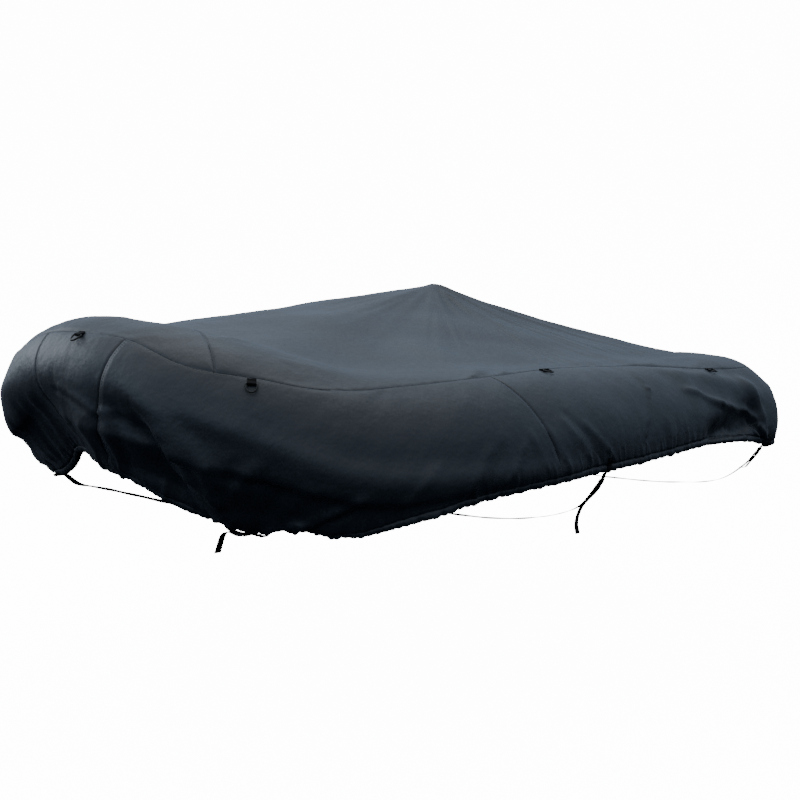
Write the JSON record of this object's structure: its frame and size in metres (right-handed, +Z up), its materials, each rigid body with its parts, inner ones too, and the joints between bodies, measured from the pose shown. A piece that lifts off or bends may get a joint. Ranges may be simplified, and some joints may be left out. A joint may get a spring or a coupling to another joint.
{
  "type": "boat cover",
  "caption": "Fitted cloth cover for a small inflatable dinghy, raised to a low peak in the middle, with a gathered hem, D-rings on the rim and belly straps.",
  "frame": {"origin": "under the peak, where the cap of the support pole bears on the cloth's underside", "axes": "+Z up, -X towards the bow, -Y to port (the side with the buckles)"},
  "size_m": [2.4163, 1.587, 0.6527],
  "materials": {
    "cloth": "dark blue-grey coated woven polyester, slight sheen",
    "webbing": "black woven webbing",
    "ring_metal": "dark coated steel wire, satin",
    "buckle_plastic": "black moulded plastic"
  },
  "bodies": {
    "root": {"bow_panel": "cloth", "bow_top_panel": "cloth", "buckle_bow": "buckle_plastic", "buckle_middle": "buckle_plastic", "buckle_stern": "buckle_plastic", "ring_loop_nose": "webbing", "ring_loop_port_1": "webbing", "ring_loop_port_2": "webbing", "ring_loop_port_3": "webbing", "ring_loop_starboard_1": "webbing", "ring_loop_starboard_2": "webbing", "ring_loop_starboard_3": "webbing", "ring_nose": "ring_metal", "ring_port_1": "ring_metal", "ring_port_2": "ring_metal", "ring_port_3": "ring_metal", "ring_starboard_1": "ring_metal", "ring_starboard_2": "ring_metal", "ring_starboard_3": "ring_metal", "side_panel_port": "cloth", "side_panel_starboard": "cloth", "stern_panel": "cloth", "strap_bow": "webbing", "strap_middle": "webbing", "strap_stern": "webbing", "strap_tab_bow": "webbing", "strap_tab_middle": "webbing", "strap_tab_stern": "webbing", "top_panel": "cloth"}
  },
  "joints": []
}
